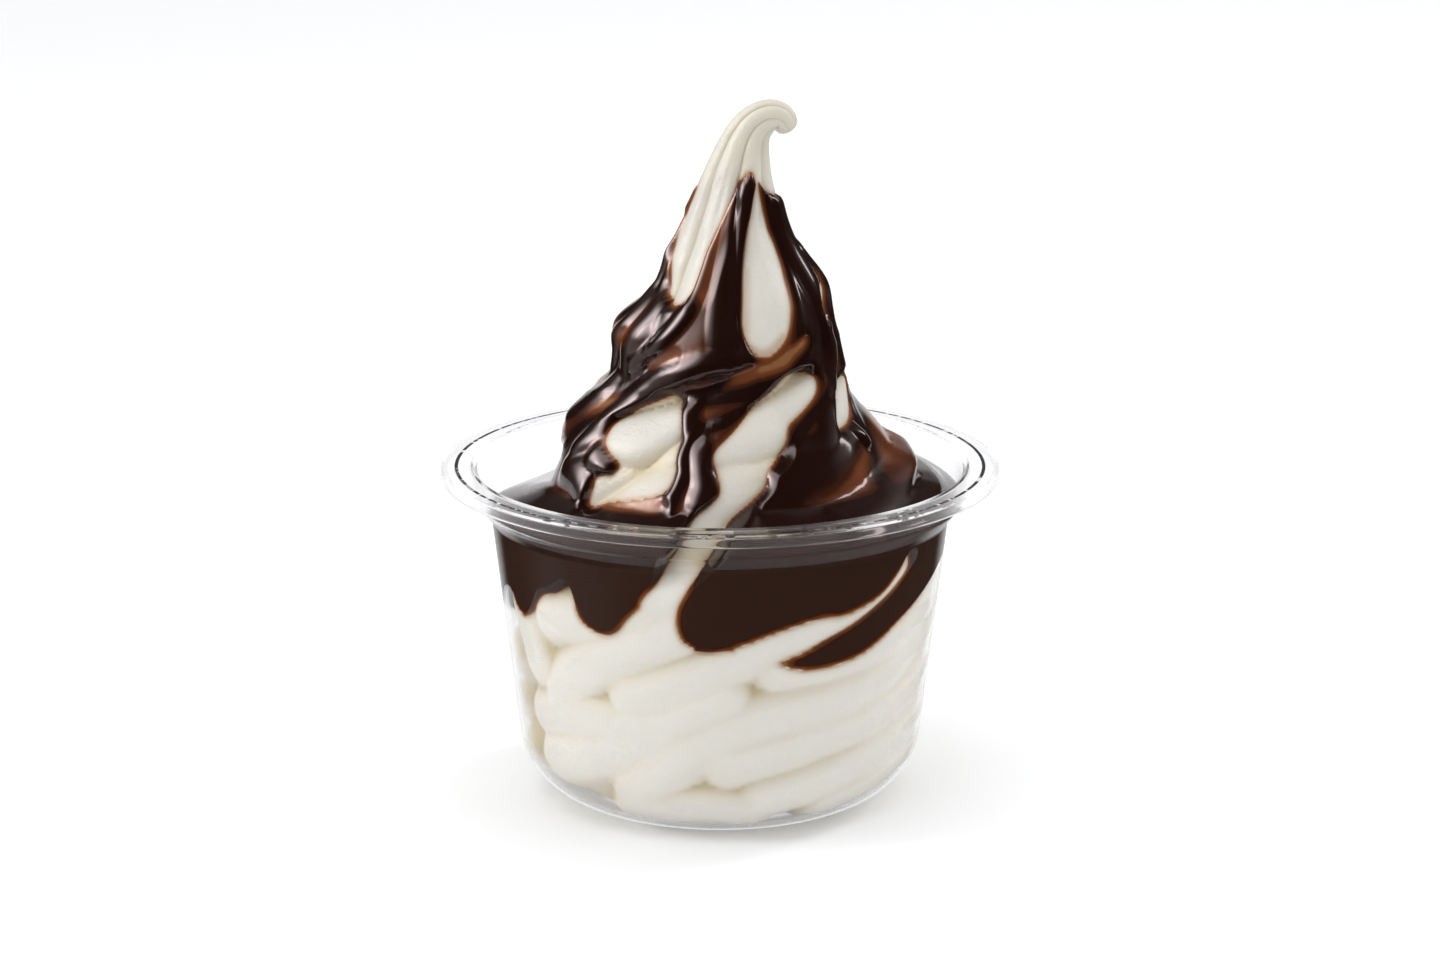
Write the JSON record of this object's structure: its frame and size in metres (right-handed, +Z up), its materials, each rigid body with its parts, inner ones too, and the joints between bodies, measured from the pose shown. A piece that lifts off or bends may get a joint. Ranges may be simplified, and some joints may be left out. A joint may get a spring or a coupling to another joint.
{
  "type": "chocolate sundae",
  "caption": "Soft-serve swirl with a hooked tip in a clear round dessert cup, with chocolate sauce run over it.",
  "frame": {"origin": "centre of the cup's foot, on the surface that it stands on", "axes": "+Z up along the cup's axis, -Y towards the viewer of the picture, +X to its right, where the tip curls"},
  "size_m": [0.095, 0.095, 0.1199],
  "materials": {
    "clear_plastic": "clear, glossy",
    "vanilla": "soft, slightly wet",
    "chocolate": "glossy, wet"
  },
  "bodies": {
    "root": {"cup": "clear_plastic", "soft_serve": "vanilla", "chocolate_sauce": "chocolate"}
  },
  "joints": []
}
